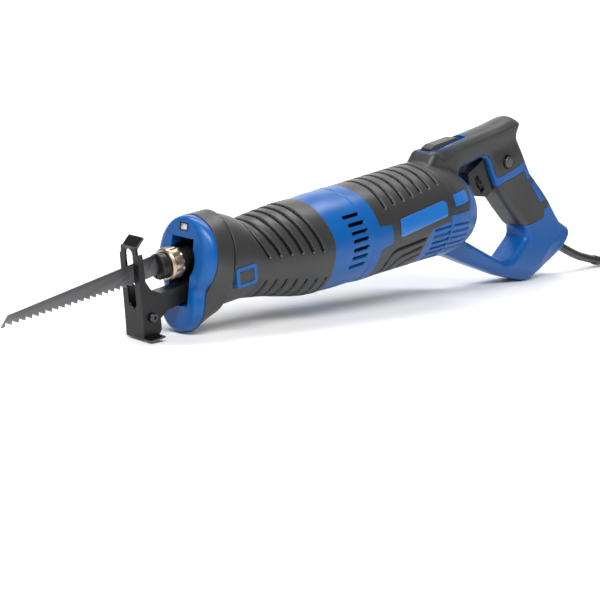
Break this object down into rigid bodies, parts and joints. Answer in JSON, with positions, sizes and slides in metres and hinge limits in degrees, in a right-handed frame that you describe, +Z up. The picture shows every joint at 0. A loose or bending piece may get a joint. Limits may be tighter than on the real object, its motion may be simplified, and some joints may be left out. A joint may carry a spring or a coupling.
{
  "type": "reciprocating saw",
  "caption": "Corded reciprocating saw with swivel D handle, pivoting shoe, twist blade clamp, opened crank drive and a coiled mains lead.",
  "frame": {"origin": "centre of the bounding box's bottom, on the surface that the saw stands on, without the cord", "axes": "-X is where the blade points, -Y is the saw's left side, +Z up; the saw is tipped 9.46 degrees nose-down so that it stands on its chin and on its loop handle"},
  "size_m": [0.8738, 0.1656, 0.1625],
  "materials": {
    "blue_shell": "satin moulded plastic",
    "soft_grip": "matte rubber",
    "name_plate": "gloss blank plate",
    "black_steel": "satin black oxide",
    "blade_steel": "grey black coated",
    "collar_alloy": "satin bronze",
    "bright_steel": "ground",
    "gear_steel": "machined",
    "cast_alloy": "die cast",
    "lamination": "varnished",
    "copper": "enamelled copper",
    "sintered_bronze": "sintered",
    "carbon": "carbon",
    "black_plastic": "gloss black",
    "grey_button": "gloss",
    "lens": "clear",
    "black_rubber": "matte",
    "tie": "matte",
    "nickel": "plated"
  },
  "bodies": {
    "handle": {"handle_shell_left": "blue_shell", "handle_shell_right": "blue_shell", "handle_grip_left": "soft_grip", "handle_grip_right": "soft_grip", "trigger_switch": "black_plastic", "speed_module": "black_plastic", "cord_sleeve": "black_rubber", "handle_screws": "bright_steel", "cord": "black_rubber", "cord_coil": "black_rubber", "cord_tie": "tie", "plug_body": "black_rubber", "plug_pins": "nickel"},
    "swivel_catch": {"swivel_catch": "black_plastic"},
    "trigger": {"trigger": "black_plastic"},
    "speed_dial": {"speed_dial": "black_plastic"},
    "lock_on_button": {"lock_on_button": "grey_button"},
    "drive_body": {"motor_housing_left": "blue_shell", "motor_housing_right": "blue_shell", "motor_grip_left": "soft_grip", "motor_grip_right": "soft_grip", "name_plates": "name_plate", "stator_core": "lamination", "field_coils": "copper", "brush_holders": "sintered_bronze", "carbon_brushes": "carbon", "brush_springs": "bright_steel", "front_motor_bearing": "bright_steel", "rear_motor_bearing": "bright_steel", "gear_housing": "cast_alloy", "gear_cover": "cast_alloy", "gear_shaft": "bright_steel", "plunger_bushes": "sintered_bronze", "plunger_seal": "black_rubber", "front_grip_sleeve": "soft_grip", "nose_boot": "soft_grip", "nose_bezel": "blue_shell", "led_lens": "lens", "release_button_frame": "blue_shell", "housing_screws": "bright_steel"},
    "armature": {"armature_shaft": "bright_steel", "armature_core": "lamination", "commutator": "copper", "cooling_fan": "black_plastic"},
    "crank_gear": {"crank_gear": "gear_steel"},
    "plunger": {"plunger": "bright_steel", "yoke": "gear_steel", "crank_bearing": "bright_steel", "blade_chuck": "black_steel", "clamp_pin": "bright_steel", "saw_blade": "blade_steel"},
    "clamp_collar": {"clamp_collar": "collar_alloy"},
    "shoe_arm": {"shoe_arm": "black_steel", "shoe_pivot_bolt": "bright_steel"},
    "shoe": {"shoe_foot": "black_steel"},
    "release_button": {"release_button": "grey_button"}
  },
  "joints": [
    {"name": "swivel", "type": "hinge", "parent": "handle", "child": "drive_body", "pos_m": [0.08804, 0, 0.07701], "axis": [0.9864, 0, 0.1644], "range_deg": [-90, 90]},
    {"name": "swivel_catch_slide", "type": "slide", "parent": "handle", "child": "swivel_catch", "axis": [0.9681, 0, 0.2505], "range_m": [0, 0.005], "stiffness_N_per_m": 400},
    {"name": "trigger_pull", "type": "slide", "parent": "handle", "child": "trigger", "axis": [0.7294, 0, 0.6841], "range_m": [0, 0.007], "stiffness_N_per_m": 700},
    {"name": "speed_dial_turn", "type": "hinge", "parent": "trigger", "child": "speed_dial", "pos_m": [0.1755, 0, 0.09931], "axis": [0.7294, 0, 0.6841], "range_deg": [0, 270]},
    {"name": "lock_on_press", "type": "slide", "parent": "handle", "child": "lock_on_button", "axis": [0, 1, 0], "range_m": [0, 0.004], "stiffness_N_per_m": 300},
    {"name": "armature_spin", "type": "hinge", "parent": "drive_body", "child": "armature", "pos_m": [0.01012, 0, 0.06403], "axis": [0.9864, 0, 0.1644], "continuous": true},
    {"name": "crank_gear_spin", "type": "hinge", "parent": "drive_body", "child": "crank_gear", "pos_m": [-0.08787, 0, 0.05581], "axis": [-0.1644, 0, 0.9864], "continuous": true},
    {"name": "plunger_stroke", "type": "slide", "parent": "drive_body", "child": "plunger", "axis": [0.9864, 0, 0.1644], "range_m": [0, 0.028]},
    {"name": "clamp_collar_twist", "type": "hinge", "parent": "plunger", "child": "clamp_collar", "pos_m": [-0.18996, 0, 0.05401], "axis": [0.9864, 0, 0.1644], "range_deg": [0, 75], "stiffness_Nm_per_rad": 0.03},
    {"name": "shoe_arm_slide", "type": "slide", "parent": "drive_body", "child": "shoe_arm", "axis": [-0.9864, 0, -0.1644], "range_m": [0, 0.025]},
    {"name": "shoe_pivot", "type": "hinge", "parent": "shoe_arm", "child": "shoe", "pos_m": [-0.21429, 0, 0.01751], "axis": [0, 1, 0], "range_deg": [-18, 18]},
    {"name": "release_button_press", "type": "slide", "parent": "drive_body", "child": "release_button", "axis": [0, 1, 0], "range_m": [0, 0.003], "stiffness_N_per_m": 400}
  ],
  "couplings": [
    {"joint": "armature_spin", "follows": "crank_gear_spin", "ratio": -5}
  ]
}
